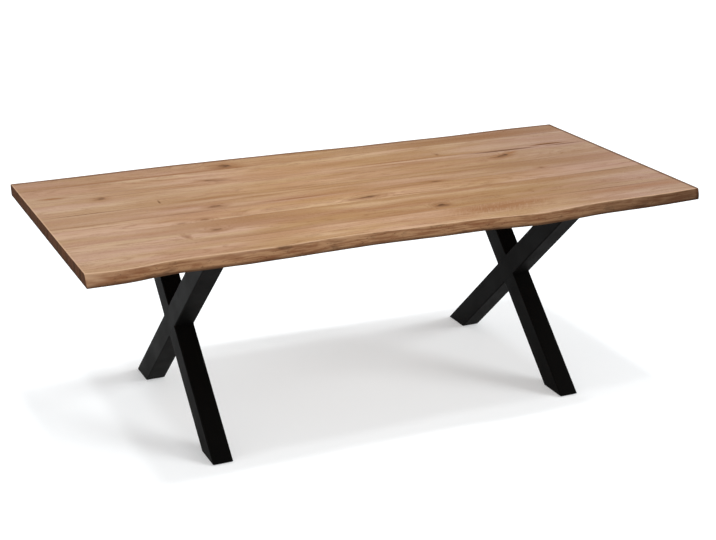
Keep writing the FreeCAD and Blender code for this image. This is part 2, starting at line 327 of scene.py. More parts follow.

    # The natural edge: brushed wood from under the bark, streaky along the
    # grain, dark along its foot. Along its upper arris, pale wear and sapwood
    # with a painted highlight in front, dark bark with painted shade at the back.
    if outward:
        out = work("MULTIPLY", facing[1], outward)
        bark = work("MULTIPLY", fade(facing[2], 0.9, 0.55), fade(out, 0.15, 0.45))
        strand = drawn_out_noise(tree, place, (10, 60, 190), 5, seed + 7)
        stain = drawn_out_noise(tree, place, (11, 25, 40), 3, seed + 8)
        speck = drawn_out_noise(tree, place, (90, 300, 300), 2, seed + 9)
        edge_colour = lay_over(tree, fade(strand, 0.38, 0.6), paint(bark_brown), paint(bark_pale))
        # Painted shade: the edge darker towards its left corner.
        left_corner_shade = fade(across[0], -0.85, -1.1, 0.0, 0.45)
        edge_colour = wash(edge_colour, left_corner_shade, bark_brown)
        edge_colour = wash(edge_colour, fade(stain, 0.48, 0.64, 0.0, 0.55), bark_red)
        edge_colour = wash(edge_colour, fade(stain, 0.42, 0.28, 0.0, 0.45), bark_dark)
        edge_colour = wash(edge_colour, fade(speck, 0.62, 0.72, 0.0, 0.6), bark_dark)
        foot = fade(across[2], bark_foot_high, foot_low, 0.0, 0.8)
        edge_colour = wash(edge_colour, foot, bark_dark)
        shade = fade(across[0], 0.2, 1.0, 0.0, 0.6)
        edge_colour = wash(edge_colour, shade, bark_dark)
        colour = lay_over(tree, bark, colour, edge_colour)
        from_edge = add_node(tree, "ShaderNodeAttribute", attribute_name="from_edge").outputs["Fac"]
        # The band along the upper arris: pale wear with a painted highlight in front, dark bark with
        # painted shade of the rounded arris at the back.
        arris_band_reach = 0.006 if outward < 0 else 0.030
        arris_band_colour = worn_highlight_pale if outward < 0 else oak_deep
        arris_wear_and_painted_light = fade(from_edge, arris_band_reach, 0.3 * arris_band_reach)
        arris_wear_and_painted_light = work("MULTIPLY", arris_wear_and_painted_light, fade(facing[2], 0.3, 0.75))
        chipped = fade(stain, 0.35, 0.5, 0.3 if outward < 0 else 0.8, 0.75)
        arris_wear_and_painted_light = work("MULTIPLY", arris_wear_and_painted_light, chipped)
        colour = wash(colour, arris_wear_and_painted_light, arris_band_colour)
        roughness = work("MULTIPLY_ADD", bark, 0.14, roughness)
        height = work("MULTIPLY_ADD", work("MULTIPLY", bark, strand), 2.0, height)

    # Saw-cut ends drink more oil and come out dark. The arris of the left end
    # gets a painted highlight, and the top near the right end a painted shade.
    end = fade(work("ABSOLUTE", facing[0]), 0.3, 0.7)
    # Painted shade: the dark end colour laid on the top near the right end.
    right_end_shade = fade(across[0], half_length - 0.018, half_length - 0.008)
    end = work("MAXIMUM", end, work("MULTIPLY", right_end_shade, 0.8))
    # Painted highlight: a pale line along the arris of the left end.
    rub_and_highlight = fade(across[0], 0.007 - half_length, 0.002 - half_length, 0.0, 0.5)
    rub_and_highlight = work("MULTIPLY", rub_and_highlight, fade(facing[2], 0.5, 0.9))
    colour = wash(colour, rub_and_highlight, worn_highlight_pale)
    end_colour = lay_over(tree, work("MULTIPLY", early_wood, 0.5), paint(oak_end), paint(knot_dark))
    end_colour = wash(end_colour, fade(patch, 0.35, 0.65, 0.0, 0.35), oak_deep)
    saw_marks = drawn_out_noise(tree, place, (1, 90, 16), 5, seed + 13)
    end_colour = wash(end_colour, fade(saw_marks, 0.42, 0.62, 0.0, 0.75), knot_dark)
    end_foot = fade(across[2], end_foot_high, foot_low, 0.0, 0.6)
    end_colour = wash(end_colour, end_foot, knot_dark)
    colour = lay_over(tree, work("MULTIPLY", end, 0.95), colour, end_colour)
    roughness = work("MULTIPLY_ADD", end, 0.4, roughness)

    wire_up(tree, surface, colour, roughness, height, bump=0.35, depth=0.0005)
    surface.inputs["Specular IOR Level"].default_value = oak_gloss
    return material


def finish_piece(piece, material, body, slot, *nodes):
    piece.data.materials.clear()
    piece.data.materials.append(material)
    bpy.ops.object.select_all(action="DESELECT")
    piece.select_set(True)
    bpy.context.view_layer.objects.active = piece
    bpy.ops.object.shade_smooth_by_angle(angle=math.radians(smooth_below))
    flat = piece.modifiers.new("flat_faces", "WEIGHTED_NORMAL")
    flat.keep_sharp = True
    bpy.ops.object.modifier_apply(modifier=flat.name)
    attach(piece, body)
    if nodes:
        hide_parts(*nodes)


# The five straight boards between the natural edges. Each is planed square,
# glued to its neighbours, and sawn off at both ends, where the arrises are
# eased with sandpaper.
end_easing = 0.0015

# A mark in the wood is its place along and across the table, its half length
# and half width, its turn in degrees, and its strength.
straight_boards = {
    "second": dict(
        pith=(0.36, 0.62), ring_width=0.0042, tone=(249, 247, 246), seed=3.1, knots=[
            (-0.436, 0.263, 0.030, 0.009, -14, 0.75),
            (0.457, 0.254, 0.006, 0.010, 0, 0.6)],
        patches=[
            (-1.008, 0.264, 0.062, 0.020, -4, 0.9),
            (-0.560, 0.238, 0.200, 0.006, 0, 0.6),
            (0.271, 0.231, 0.220, 0.008, 0, 0.8),
            (0.921, 0.228, 0.095, 0.028, 0, 1.0)],
        lines=[(0.920, 0.229, 0.085, 0.012, 0, 0.9)]),
    "third": dict(
        pith=(0.12, 0.60), ring_width=0.0038, tone=(251, 250, 249), seed=8.6, knots=[
            (-0.857, 0.203, 0.016, 0.011, 20, 0.75),
            (0.684, 0.150, 0.026, 0.011, 25, 1.2)],
        patches=[
            (-0.270, 0.200, 0.140, 0.006, 0, 0.7),
            (0.270, 0.199, 0.220, 0.010, 0, 0.8),
            (0.722, 0.168, 0.062, 0.013, 25, 1.0),
            (-0.520, 0.066, 0.220, 0.020, 0, 0.7),
            (-0.200, 0.075, 0.140, 0.014, 0, 0.6),
            (0.960, 0.095, 0.200, 0.040, 0, 0.25)],
        lines=[
            (0.715, 0.2110, 0.200, 0.0130, -1, 1.0),
            (0.740, 0.2105, 0.170, 0.0060, -1, 1.0),
            (0.985, 0.207, 0.120, 0.008, 0, 0.8),
            (-0.686, 0.089, 0.0055, 0.025, -4, 0.8),
            (-0.950, 0.0515, 0.170, 0.005, 0, 0.9)]),
    "middle": dict(
        pith=(-0.20, 0.66), ring_width=0.0034, tone=(244, 238, 235), seed=12.3, knots=[
            (-0.526, -0.029, 0.020, 0.009, 0, 1.0),
            (0.286, -0.060, 0.020, 0.007, -12, 1.1),
            (0.729, -0.050, 0.014, 0.008, 0, 0.7)],
        patches=[
            (-0.250, -0.051, 0.190, 0.011, 0, 0.9),
            (-0.640, 0.004, 0.100, 0.016, 0, 0.5),
            (0.950, -0.010, 0.300, 0.060, 0, 0.25)],
        lines=[(-0.640, -0.067, 0.120, 0.004, 0, 0.4)]),
    "fifth": dict(
        pith=(-0.14, 0.56), ring_width=0.0045, tone=(254, 251, 249), seed=18.9, knots=[
            (-0.007, -0.137, 0.034, 0.010, 4, 1.0),
            (-0.607, -0.153, 0.014, 0.007, 0, 0.6),
            (-0.690, -0.165, 0.012, 0.005, 0, 0.5)],
        patches=[
            (0.160, -0.157, 0.160, 0.006, -3, 0.7),
            (0.950, -0.120, 0.300, 0.060, 0, 0.2)],
        lines=[(-0.030, -0.139, 0.080, 0.005, 5, 0.7)]),
    "sixth": dict(
        pith=(-0.30, 0.61), ring_width=0.0040, tone=(252, 250, 247), seed=23.5, knots=[
            (-0.607, -0.267, 0.018, 0.009, 0, 0.85),
            (-0.716, -0.303, 0.005, 0.010, 14, 0.55),
            (0.176, -0.317, 0.015, 0.010, 0, 1.25)],
        patches=[
            (-0.540, -0.212, 0.400, 0.050, 0, 0.6),
            (0.180, -0.316, 0.050, 0.012, 0, 0.7),
            (0.780, -0.200, 0.420, 0.034, 0, 0.6)],
        lines=[(0.930, -0.1745, 0.180, 0.006, 0, 0.6)]),
}

for board, growth in straight_boards.items():
    node = f"{board}_plank"
    board_low, board_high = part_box(node)
    plank = start_block(f"{board}_oak_board", board_low, board_high)
    pick_edges(plank, lambda one, two: abs(one.x - two.x) < touching and abs(one.z - two.z) < touching)
    bpy.ops.mesh.bevel(offset=end_easing, segments=3, affect="EDGES", clamp_overlap=False)
    leave_edit()
    for tool in groove_tools:
        combine(plank, tool, "DIFFERENCE")
    oak = oak_finish(
        board, seams=(board_low.y, board_high.y), half_length=board_high.x, **growth)
    finish_piece(plank, oak, "table", "oak", node)


# The two outer boards keep the natural edge of the tree: debarked, brushed
# and only lightly sanded, so the edge waves along the board, flares towards
# its foot, and its upper arris is worn round by hand.
edge_cuts = 20
cut_rounds = 2
face_cuts = 9
worn_rows = (0.0025, 0.006, 0.014, 0.035)
edge_belly = 0.002
edge_swell = 0.0013
edge_ripple = 0.0005
edge_side = 0.45
arris_easing = 0.0022
board_easing = 0.05
edge_smoothing = 0.010
live_edges = {
    "back": dict(outward=1, bump_seed=41.0, growth=dict(
        pith=(0.47, 0.64), ring_width=0.0036, tone=(236, 229, 222), seed=29.1,
        knots=[(-0.332, 0.427, 0.026, 0.019, -20, 1.25)],
        patches=[
            (-0.550, 0.392, 0.560, 0.010, 0, 0.7),
            (0.680, 0.430, 0.600, 0.060, 0, 0.6)],
        lines=[(0.960, 0.384, 0.160, 0.005, 0, 0.5)])),
    "front": dict(outward=-1, bump_seed=63.0, growth=dict(
        pith=(-0.44, 0.63), ring_width=0.0043, tone=(255, 253, 254), seed=35.7,
        patches=[
            (0.360, -0.412, 0.250, 0.055, 0, 0.85),
            (0.920, -0.395, 0.340, 0.045, 0, 0.55)],
        lines=[(0.820, -0.3705, 0.300, 0.006, 0, 0.4)],
        rays=[(0.350, -0.420, 0.270, 0.070, 0, 1.0)])),
}


def arris_line(node, outward, height):
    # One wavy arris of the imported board, as (x, y) points in order.
    points = set()
    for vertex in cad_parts[node].data.vertices:
        if abs(vertex.co.z - height) < same_corner and outward * vertex.co.y > edge_side:
            points.add((round(vertex.co.x, 5), round(vertex.co.y, 5)))
    return sorted(points)


def follow(line, x):
    for (x_one, y_one), (x_two, y_two) in zip(line, line[1:]):
        if x <= x_two:
            break
    share = (x - x_one) / (x_two - x_one)
    return y_one + (y_two - y_one) * share


def follow_smoothly(line, x):
    steps = (-2, -1, 0, 1, 2)
    return sum(follow(line, x + edge_smoothing * step) for step in steps) / len(steps)


for side, edge in live_edges.items():
    node = f"{side}_live_edge_plank"
    outward = edge["outward"]
    board_low, board_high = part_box(node)
    upper_line = arris_line(node, outward, board_high.z)
    lower_line = arris_line(node, outward, board_low.z)
    edge_y, seam_y = board_high.y, board_low.y
    if outward < 0:
        edge_y, seam_y = seam_y, edge_y
    plank = start_block(f"{side}_live_edge_oak_board", board_low, board_high)
    for cut_round in range(cut_rounds):
        pick_edges(plank, lambda one, two: abs(one.x - two.x) > touching)
        bpy.ops.mesh.subdivide(number_cuts=edge_cuts)
    pick_edges(plank, lambda one, two: abs(one.z - two.z) > touching and abs(one.y - edge_y) < touching)
    bpy.ops.mesh.subdivide(number_cuts=face_cuts)
    pick_edges(plank, lambda one, two: (
        abs(one.y - two.y) > touching and min(one.z, two.z) > board_high.z - touching))
    bpy.ops.mesh.subdivide(number_cuts=len(worn_rows))
    leave_edit()
    for vertex in plank.data.vertices:
        x, level = vertex.co.x, (vertex.co.z - board_low.z) / (board_high.z - board_low.z)
        share = (edge_y - vertex.co.y) / (edge_y - seam_y)
        row = round(share * (len(worn_rows) + 1))
        if row > len(worn_rows):
            continue
        upper_y, lower_y = follow_smoothly(upper_line, x), follow_smoothly(lower_line, x)
        swell = noise.fractal(Vector((9 * x, 1.3 * level, edge["bump_seed"])), 1.0, 2.0, 3)
        strand = noise.noise(Vector((24 * x, 7 * level, edge["bump_seed"] + 9)))
        belly = 4 * edge_belly * level * (1 - level)
        proud = belly + edge_swell * swell + edge_ripple * strand
        if row:
            proud -= worn_rows[row - 1]
        vertex.co.y = lower_y + (upper_y - lower_y) * level + outward * proud

    def is_arris(one, two):
        upper = max(abs(one.z - board_high.z), abs(two.z - board_high.z)) < touching
        lower = max(abs(one.z - board_low.z), abs(two.z - board_low.z)) < touching
        inside = 0.4 * worn_rows[0]
        at_edge = all(
            outward * (follow_smoothly(upper_line if upper else lower_line, end.x) - end.y) < inside
            for end in (one, two))
        at_end = abs(one.x - two.x) < touching and board_high.x - abs(one.x) < touching
        outside = abs(one.z - two.z) < touching or outward * (one.y - seam_y) > board_easing
        return (at_end and outside) or ((upper or lower) and at_edge and abs(one.x - two.x) > touching)
    pick_edges(plank, is_arris)
    bpy.ops.mesh.bevel(offset=arris_easing, segments=3, affect="EDGES", clamp_overlap=False)
    leave_edit()
    for tool in groove_tools:
        combine(plank, tool, "DIFFERENCE")
    from_edge = plank.data.attributes.new("from_edge", "FLOAT", "POINT")
    for vertex in plank.data.vertices:
        inside = outward * (follow_smoothly(upper_line, vertex.co.x) - vertex.co.y)
        from_edge.data[vertex.index].value = max(inside, 0.0)
    oak = oak_finish(
        side, seams=(seam_y,), half_length=board_high.x, outward=outward, **edge["growth"])
    finish_piece(plank, oak, "table", "oak", node)

for tool in groove_tools:
    bpy.data.objects.remove(tool)


# The stiffening channels: folded steel, powder coated, let into the underside
# across the boards, so that a solid top of this width stays flat. Their slots
# leave the boards free to swell and shrink.
channel_fold = 0.002
channel_easing = 0.0005
full_round = 0.499
channel_slot_width = 0.007
channel_slot_length = 0.016
overrun = Vector((0, 0, 0.002))
coat_black = (8, 7, 6)
coat_grey = (12, 11, 10)
coat_roughness = 0.56
coat_gloss = 0.04
eased_above = 60


def coat_finish():
    # Black powder coat: matt, with a fine orange-peel skin.
    material, tree, surface, spot = new_finish("black_powder_coat")
    place = spot.outputs["Object"]
    peel = add_node(tree, "ShaderNodeTexNoise", {"Vector": place, "Scale": 700.0, "Detail": 2.0})
    cloud = add_node(tree, "ShaderNodeTexNoise", {"Vector": place, "Scale": 9.0, "Detail": 3.0})
    cloud = ease(tree, cloud.outputs[0], 0.3, 0.7)
    colour = lay_over(tree, cloud, paint(coat_black), paint(coat_grey))
    roughness = calculate(tree, "MULTIPLY_ADD", cloud, 0.1, coat_roughness)
    wire_up(tree, surface, colour, roughness, peel.outputs[0], bump=0.15, depth=0.0003)
    surface.inputs["Specular IOR Level"].default_value = coat_gloss
    return material


def separate_boxes(node):
    # The box of each separate solid in a node, in order along X, then Y.
    shape = bmesh.new()
    shape.from_mesh(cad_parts[node].data)
    bmesh.ops.remove_doubles(shape, verts=shape.verts, dist=same_corner)
    waiting = set(shape.verts)
    boxes = []
    while waiting:
        solid, fresh = set(), {waiting.pop()}
        while fresh:
            vertex = fresh.pop()
            solid.add(vertex)
            fresh |= {edge.other_vert(vertex) for edge in vertex.link_edges} - solid
        waiting -= solid
        low = Vector([min(vertex.co[axis] for vertex in solid) for axis in range(3)])
        high = Vector([max(vertex.co[axis] for vertex in solid) for axis in range(3)])
        boxes.append((low, high))
    shape.free()
    return sorted(boxes, key=lambda box: (round(box[0].x, 3), round(box[0].y, 3)))


def use_up(piece, tool, operation):
    combine(piece, tool, operation)
    bpy.data.objects.remove(tool)


def cut_slot(piece, bolt_low, bolt_high, width, length):
    # A slot with round ends, round a bolt and right through the piece.
    place = (bolt_low + bolt_high) / 2
    half = Vector((width / 2, length / 2, bolt_high.z - bolt_low.z))
    tool = start_block("slot_tool", place - half, place + half)
    pick_edges(tool, lambda one, two: abs(one.z - two.z) > touching)
    bpy.ops.mesh.bevel(offset=full_round * width, segments=8, affect="EDGES", clamp_overlap=False)
    leave_edit()
    use_up(piece, tool, "DIFFERENCE")


def ease_edges(piece, easing):
    rounding = piece.modifiers.new("easing", "BEVEL")
    rounding.width = easing
    rounding.segments = 2
    rounding.limit_method = "ANGLE"
    rounding.angle_limit = math.radians(eased_above)
    bpy.context.view_layer.objects.active = piece
    bpy.ops.object.modifier_apply(modifier=rounding.name)


powder_coat = coat_finish()
for side in channel_sides:
    node = f"{side}_stiffener_channel"
    channel_low, channel_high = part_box(node)
    web_top = channel_low.z + channel_wall
    channel = channel_block(f"{side}_steel_channel", channel_low, channel_high, channel_wall, web_top)
    pick_edges(channel, lambda one, two: (
        abs(one.y - two.y) > channel_high.x - channel_low.x and one.z < channel_low.z + touching
        and min(one.x - channel_low.x, channel_high.x - one.x) < touching))
    bpy.ops.mesh.bevel(offset=channel_fold, segments=5, affect="EDGES", clamp_overlap=False)
    leave_edit()
    for bolt_low, bolt_high in separate_boxes("stiffener_bolts"):
        if channel_low.x < bolt_low.x < channel_high.x:
            cut_slot(channel, bolt_low, bolt_high, channel_slot_width, channel_slot_length)
    ease_edges(channel, channel_easing)
    finish_piece(channel, powder_coat, "table", "black_powder_coat", node)


# The bolts of the channels: zinc plated button heads with a hexagon socket,
# screwed up into threaded inserts in the oak.
button_height = 0.0033
button_round = 0.00215
button_shank = 0.006
socket_across_flats = 0.004
socket_depth = 0.002
zinc_bright = (192, 194, 197)
zinc_cloudy = (158, 162, 168)
zinc_roughness = 0.28


def zinc_finish():
    # Bright zinc plating: cloudy, with fine rubs from the spanner.
    material, tree, surface, spot = new_finish("bright_zinc_plate")
    place = spot.outputs["Object"]
    cloud = add_node(tree, "ShaderNodeTexNoise", {"Vector": place, "Scale": 190.0, "Detail": 4.0})
    cloud = ease(tree, cloud.outputs[0], 0.35, 0.65)
    rub = drawn_out_noise(tree, place, (1400, 1400, 220), 3, 4.0)
    colour = lay_over(tree, cloud, paint(zinc_bright), paint(zinc_cloudy))
    roughness = calculate(tree, "MULTIPLY_ADD", cloud, 0.16, zinc_roughness)
    roughness = calculate(tree, "MULTIPLY_ADD", rub, 0.1, roughness)
    wire_up(tree, surface, colour, roughness, rub, bump=0.12, depth=0.0001)
    surface.inputs["Metallic"].default_value = 1.0
    return material


def start_rod(name, sides, radius, base, length):
    bpy.ops.object.select_all(action="DESELECT")
    bpy.ops.mesh.primitive_cylinder_add(
        vertices=sides, radius=radius, depth=length, location=base + Vector((0, 0, length / 2)))
    bpy.ops.object.transform_apply(location=True, rotation=True, scale=True)
    rod = bpy.context.object
    rod.name = name
    rod.data.name = name
    return rod


def base_of(low, high):
    middle = (low + high) / 2
    return Vector((middle.x, middle.y, low.z))


def make_button_bolt(name, low, high):
    base = base_of(low, high)
    bolt = start_rod(name, 40, (high.x - low.x) / 2, base, button_height)
    pick_edges(bolt, lambda one, two: max(one.z, two.z) < low.z + touching)
    bpy.ops.mesh.bevel(offset=button_round, segments=7, affect="EDGES", clamp_overlap=False)
    leave_edit()
    shank_base = base + Vector((0, 0, button_height / 2))
    shank = start_rod("shank_tool", 24, button_shank / 2, shank_base, high.z - shank_base.z)
    use_up(bolt, shank, "UNION")
    corner_radius = socket_across_flats / 2 / math.cos(math.pi / 6)
    socket = start_rod("socket_tool", 6, corner_radius, base - overrun, socket_depth + overrun.z)
    use_up(bolt, socket, "DIFFERENCE")
    return bolt


def copy_beside(piece, name, shift):
    twin = piece.copy()
    twin.data = piece.data.copy()
    twin.name = name
    twin.data.name = name
    twin.data.transform(Matrix.Translation(shift))
    bpy.context.scene.collection.objects.link(twin)
    return twin


patterns = {}


def repeat_piece(make, name, low, high):
    # Models the first piece of a kind, and copies it for all the others.
    if make not in patterns:
        patterns[make] = (make(name, low, high), low)
        return patterns[make][0]
    pattern, pattern_low = patterns[make]
    return copy_beside(pattern, name, low - pattern_low)


def dress_node(node, material):
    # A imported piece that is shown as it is, with a finish of its own.
    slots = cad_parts[node].data.materials
    slots.clear()
    slots.append(material)


zinc_plate = zinc_finish()
for number, (low, high) in enumerate(separate_boxes("stiffener_bolts"), 1):
    bolt = repeat_piece(make_button_bolt, f"stiffener_button_bolt_{number}", low, high)
    finish_piece(bolt, zinc_plate, "table", "zinc_plated_steel", "stiffener_bolts")
dress_node("stiffener_inserts", zinc_plate)


# The welded X frames: rectangular steel tube, sawn level at the foot and the
# top. One leg of each frame runs through; the other is two halves butted
# against it and welded all round, ground flush on the sides.
tube_depth = 0.080
tube_wall = 0.003
tube_corner = 0.004
bead_radius = 0.0026
bead_proud = 0.00025
bead_ripple = 0.0005
bead_ripples = 260
bead_seed = 7
bead_cuts = 9
leg_low, leg_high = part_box("left_frame_long_leg")
frame_sides = ("left", "right")
left_x, right_x = (base_of(*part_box(f"{side}_frame_long_leg")).x for side in frame_sides)
front_y, back_y = (base_of(*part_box(f"{end}_left_glide_pad")).y for end in ("front", "back"))
foot_spread = back_y - front_y
leg_rise = leg_high.z - leg_low.z
leg_length = math.hypot(foot_spread, leg_rise)
crossing = Vector((left_x, 0, (leg_low.z + leg_high.z) / 2))
long_lean = math.atan2(foot_spread, leg_rise)
off_long_leg = Vector((0, leg_rise, foot_spread)) / leg_length


def saw(piece, point, direction):
    # Cuts the tube, drops what lies past the cut and closes its rim.
    pick_faces(piece, lambda middle, normal: True)
    bpy.ops.mesh.bisect(plane_co=point, plane_no=direction, clear_outer=True)
    bpy.ops.mesh.bridge_edge_loops()
    leave_edit()


def steel_tube(name, lean):
    bpy.ops.object.select_all(action="DESELECT")
    bpy.ops.mesh.primitive_cube_add(
        size=1.0, location=crossing, rotation=(lean, 0, 0),
        scale=(leg_high.x - leg_low.x, tube_depth, leg_length + 3 * tube_depth))
    bpy.ops.object.transform_apply(location=True, rotation=True, scale=True)
    tube = bpy.context.object
    tube.name = name
    tube.data.name = name
    axis = Vector((0, -math.sin(lean), math.cos(lean)))
    pick_faces(tube, lambda middle, normal: abs(normal.dot(axis)) > squarely)
    bpy.ops.mesh.delete(type="FACE")
    pick_edges(tube, lambda one, two: abs((two - one).dot(axis)) > leg_length)
    bpy.ops.mesh.bevel(offset=tube_corner, segments=5, affect="EDGES", clamp_overlap=False)
    leave_edit()
    wall = tube.modifiers.new("wall", "SOLIDIFY")
    wall.thickness = tube_wall
    wall.offset = -1.0
    wall.use_even_offset = True
    bpy.ops.object.modifier_apply(modifier=wall.name)
    saw(tube, (0, 0, leg_low.z), (0, 0, -1))
    saw(tube, (0, 0, leg_high.z), (0, 0, 1))
    return tube


def weld_bead(name, centre, lean, width, length):
    # A bead laid round the end of a tube, then ground flush with its sides.
    bpy.ops.object.select_all(action="DESELECT")
    bpy.ops.mesh.primitive_plane_add(size=1.0, location=centre, rotation=(lean, 0, 0))
    bead = bpy.context.object
    bead.scale = (width, length, 1)
    bpy.ops.object.transform_apply(location=True, rotation=True, scale=True)
    bpy.ops.object.mode_set(mode="EDIT")
    bpy.ops.mesh.select_all(action="SELECT")
    bpy.ops.mesh.delete(type="ONLY_FACE")
    bpy.ops.mesh.select_mode(type="VERT")
    bpy.ops.mesh.select_all(action="SELECT")
    bpy.ops.mesh.bevel(offset=tube_corner, segments=3, affect="VERTICES")
    bpy.ops.mesh.select_all(action="SELECT")
    bpy.ops.mesh.subdivide(number_cuts=bead_cuts)
    leave_edit()
    bpy.ops.object.convert(target="CURVE")
    bead = bpy.context.object
    bead.data.bevel_depth = bead_radius
    bead.data.bevel_resolution = 2
    bpy.ops.object.convert(target="MESH")
    bead = bpy.context.object
    bead.name = name
    bead.data.name = name
    side_limit = width / 2 + bead_proud
    for vertex in bead.data.vertices:
        vertex.co += bead_ripple * noise.noise_vector(bead_ripples * vertex.co)
        aside = vertex.co.x - centre.x
        vertex.co.x = centre.x + max(-side_limit, min(side_limit, aside))
    return bead


tube_width = leg_high.x - leg_low.x
half_depth = tube_depth / 2 * off_long_leg
long_leg = steel_tube("left_frame_long_tube", long_lean)
upper_half_leg = steel_tube("left_frame_upper_half_tube", -long_lean)
saw(upper_half_leg, crossing + half_depth, -off_long_leg)
lower_half_leg = steel_tube("left_frame_lower_half_tube", -long_lean)
saw(lower_half_leg, crossing - half_depth, off_long_leg)
tube_end_length = leg_high.y - leg_low.y - foot_spread
noise.seed_set(bead_seed)
beads = {
    "upper_crossing_weld": weld_bead(
        "left_frame_upper_crossing_weld", crossing + half_depth,
        -math.atan2(leg_rise, foot_spread), tube_width, tube_depth),
    "lower_crossing_weld": weld_bead(
        "left_frame_lower_crossing_weld", crossing - half_depth,
        -math.atan2(leg_rise, foot_spread), tube_width, tube_depth),
    "front_top_weld": weld_bead(
        "left_frame_front_top_weld", Vector((left_x, -foot_spread / 2, leg_high.z)),
        0, tube_width, tube_end_length),
    "back_top_weld": weld_bead(
        "left_frame_back_top_weld", Vector((left_x, foot_spread / 2, leg_high.z)),
        0, tube_width, tube_end_length),
}
frame_shift = Vector((right_x - left_x, 0, 0))
tubes = {"long": long_leg, "upper_half": upper_half_leg, "lower_half": lower_half_leg}
frame_pieces = []
for part, tube in tubes.items():
    twin = copy_beside(tube, f"right_frame_{part}_tube", frame_shift)
    finish_piece(tube, powder_coat, "table", "black_powder_coat", f"left_frame_{part}_leg")
    finish_piece(twin, powder_coat, "table", "black_powder_coat", f"right_frame_{part}_leg")
    frame_pieces += [tube, twin]
for part, bead in beads.items():
    twin = copy_beside(bead, f"right_frame_{part}", frame_shift)
    finish_piece(bead, powder_coat, "table", "black_powder_coat")
    finish_piece(twin, powder_coat, "table", "black_powder_coat")


# The mounting plate on top of each frame: flat steel with rounded corners,
# welded to the legs, with slots for the bolts, so that the oak can move with
# the seasons.
plate_corner = 0.010
plate_easing = 0.0008
plate_slot_width = 0.009
plate_slot_length = 0.020

for side in frame_sides:
    node = f"{side}_frame_mounting_plate"
    plate_low, plate_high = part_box(node)
    plate = start_block(f"{side}_frame_steel_plate", plate_low, plate_high)
    pick_edges(plate, lambda one, two: abs(one.z - two.z) > touching)
    bpy.ops.mesh.bevel(offset=plate_corner, segments=6, affect="EDGES", clamp_overlap=False)
    leave_edit()
    for bolt_low, bolt_high in separate_boxes(f"{side}_frame_bolts"):
        cut_slot(plate, bolt_low, bolt_high, plate_slot_width, plate_slot_length)
    ease_edges(plate, plate_easing)
    finish_piece(plate, powder_coat, "table", "black_powder_coat", node)


# The bolts of the plates: zinc plated hex bolts with wide washers, screwed up
# into threaded inserts in the oak.
hex_across_flats = 0.013
hex_head_height = 0.0053
hex_chamfer = 0.0011
shank_diameter = 0.008
washer_hole = 0.009
washer_easing = 0.0003


def make_hex_bolt(name, low, high):
    base = base_of(low, high)
    corner_radius = hex_across_flats / 2 / math.cos(math.pi / 6)
    bolt = start_rod(name, 6, corner_radius, base, hex_head_height)
    collar = start_rod("chamfer_tool", 48, corner_radius, base, hex_head_height)
    pick_edges(collar, lambda one, two: max(one.z, two.z) < low.z + touching)
    bpy.ops.mesh.bevel(offset=hex_chamfer, segments=1, affect="EDGES", clamp_overlap=False)
    leave_edit()
    use_up(bolt, collar, "INTERSECT")
    shank_base = base + Vector((0, 0, hex_head_height - hex_chamfer))
    shank = start_rod("shank_tool", 32, shank_diameter / 2, shank_base, high.z - shank_base.z)
    pick_edges(shank, lambda one, two: min(one.z, two.z) > high.z - touching)
    bpy.ops.mesh.bevel(offset=hex_chamfer, segments=1, affect="EDGES", clamp_overlap=False)
    leave_edit()
    use_up(bolt, shank, "UNION")
    return bolt


def make_washer(name, low, high):
    base = base_of(low, high)
    thickness = high.z - low.z
    washer = start_rod(name, 48, (high.x - low.x) / 2, base, thickness)
    hole = start_rod("hole_tool", 32, washer_hole / 2, base - overrun, thickness + 2 * overrun.z)
    use_up(washer, hole, "DIFFERENCE")
    ease_edges(washer, washer_easing)
    return washer


for kind, make in {"bolt": make_hex_bolt, "washer": make_washer}.items():
    for side in frame_sides:
        node = f"{side}_frame_{kind}s"
        for number, (low, high) in enumerate(separate_boxes(node), 1):
            piece = repeat_piece(make, f"{side}_frame_{kind}_{number}", low, high)
            finish_piece(piece, zinc_plate, "table", "zinc_plated_steel", node)
for side in frame_sides:
    dress_node(f"{side}_frame_inserts", zinc_plate)


# The feet: a cap plate and a nut welded into each leg, and a levelling glide
# with a threaded steel stem and a moulded pad that stands on the floor.
thread_pitch = 0.0015
thread_depth = 0.0009
thread_cuts = 10
pad_upper_round = 0.0012
pad_lower_round = 0.0009
pad_rim = 0.004
pad_hollow = 0.0006
plastic_black = (17, 17, 17)
plastic_scuffed = (40, 39, 37)
plastic_roughness = 0.48


def plastic_finish():
    # Moulded black nylon: a fine even grain, scuffed grey near the floor.
    material, tree, surface, spot = new_finish("black_moulded_plastic")
    place = spot.outputs["Object"]
    across = add_node(tree, "ShaderNodeSeparateXYZ", {0: place}).outputs
    pebble = add_node(tree, "ShaderNodeTexNoise", {"Vector": place, "Scale": 1900.0, "Detail": 2.0})
    rub_and_highlight = add_node(tree, "ShaderNodeTexNoise", {"Vector": place, "Scale": 240.0, "Detail": 4.0})
    scuff = ease(tree, rub_and_highlight.outputs[0], 0.52, 0.7)
    scuff = calculate(tree, "MULTIPLY", scuff, ease(tree, across[2], 0.003, 0.0))
    colour = lay_over(tree, scuff, paint(plastic_black), paint(plastic_scuffed))
    roughness = calculate(tree, "MULTIPLY_ADD", scuff, 0.25, plastic_roughness)
    wire_up(tree, surface, colour, roughness, pebble.outputs[0], bump=0.25, depth=0.0002)
    return material


